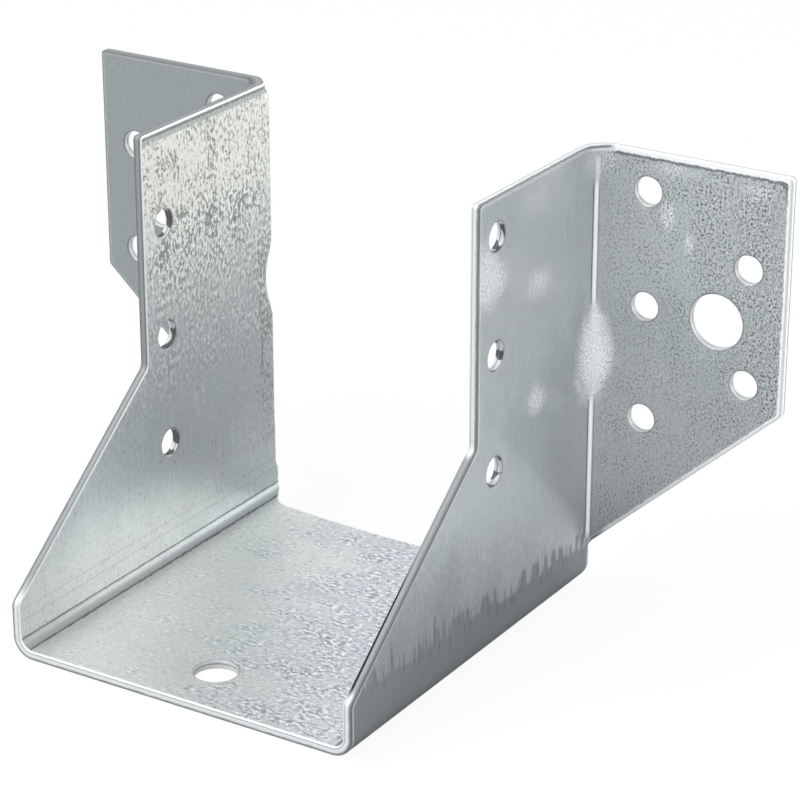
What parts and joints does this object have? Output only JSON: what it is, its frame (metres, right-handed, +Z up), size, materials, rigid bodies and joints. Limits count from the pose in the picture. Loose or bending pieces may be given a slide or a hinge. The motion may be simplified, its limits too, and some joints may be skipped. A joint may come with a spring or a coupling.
{
  "type": "joist hanger",
  "caption": "Folded galvanised steel joist hanger: a flat seat between two upright sides, with a nailing flange turned out from the back of each.",
  "frame": {"origin": "in the middle of the seat's top face, 36 mm in front of the plane of the flanges' back faces", "axes": "+X across the joist, to the right for someone who stands on the joist's side and faces the header, +Y into the header, +Z up; the joist leaves along -Y"},
  "size_m": [0.1296, 0.072, 0.0755],
  "materials": {
    "galvanised_sheet": "galvanised, satin grey with fine spangle"
  },
  "bodies": {
    "root": {"hanger": "galvanised_sheet"}
  },
  "joints": []
}
